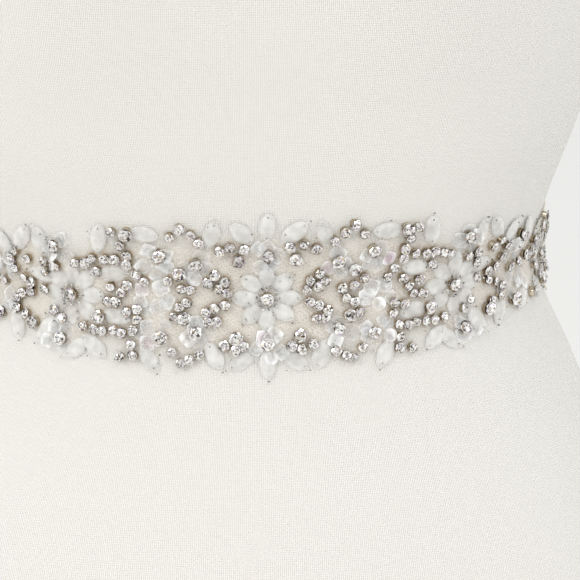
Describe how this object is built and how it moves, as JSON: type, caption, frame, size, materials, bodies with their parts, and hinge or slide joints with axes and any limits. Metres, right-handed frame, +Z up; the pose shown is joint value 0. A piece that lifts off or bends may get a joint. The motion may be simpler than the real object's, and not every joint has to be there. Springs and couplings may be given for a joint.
{
  "type": "bridal sash on a tabletop dress form",
  "caption": "Beaded applique sash on satin ribbon, fastened round the waist of a limbless jersey-covered dress form that stands on a round wooden base.",
  "frame": {"origin": "centre of the underside of the round base, on the surface that the form stands on", "axes": "+Z up along the pole, -Y out of the front of the form and through the middle of the applique, +X to the right for someone who faces the front"},
  "size_m": [0.3554, 0.27, 0.7886],
  "materials": {
    "form_jersey": "fine cream knit jersey, matt",
    "form_wood": "pale beech under a satin varnish",
    "tulle": "fine beige net, two layers",
    "ribbon_satin": "ivory satin with a soft sheen",
    "petal_bead": "milky opal, smooth",
    "rhinestone": "foiled cut crystal",
    "claw_cup": "silver plate",
    "sequin": "clear cupped, pearly",
    "seed_bead": "silver-lined seed bead",
    "sewing_thread": "fine white polyester"
  },
  "bodies": {
    "root": {"applique": "tulle", "ribbon_left": "ribbon_satin", "ribbon_right": "ribbon_satin", "form": "form_jersey", "neck_cap": "form_wood", "finial": "form_wood", "pole": "form_wood", "base": "form_wood"}
  },
  "joints": []
}
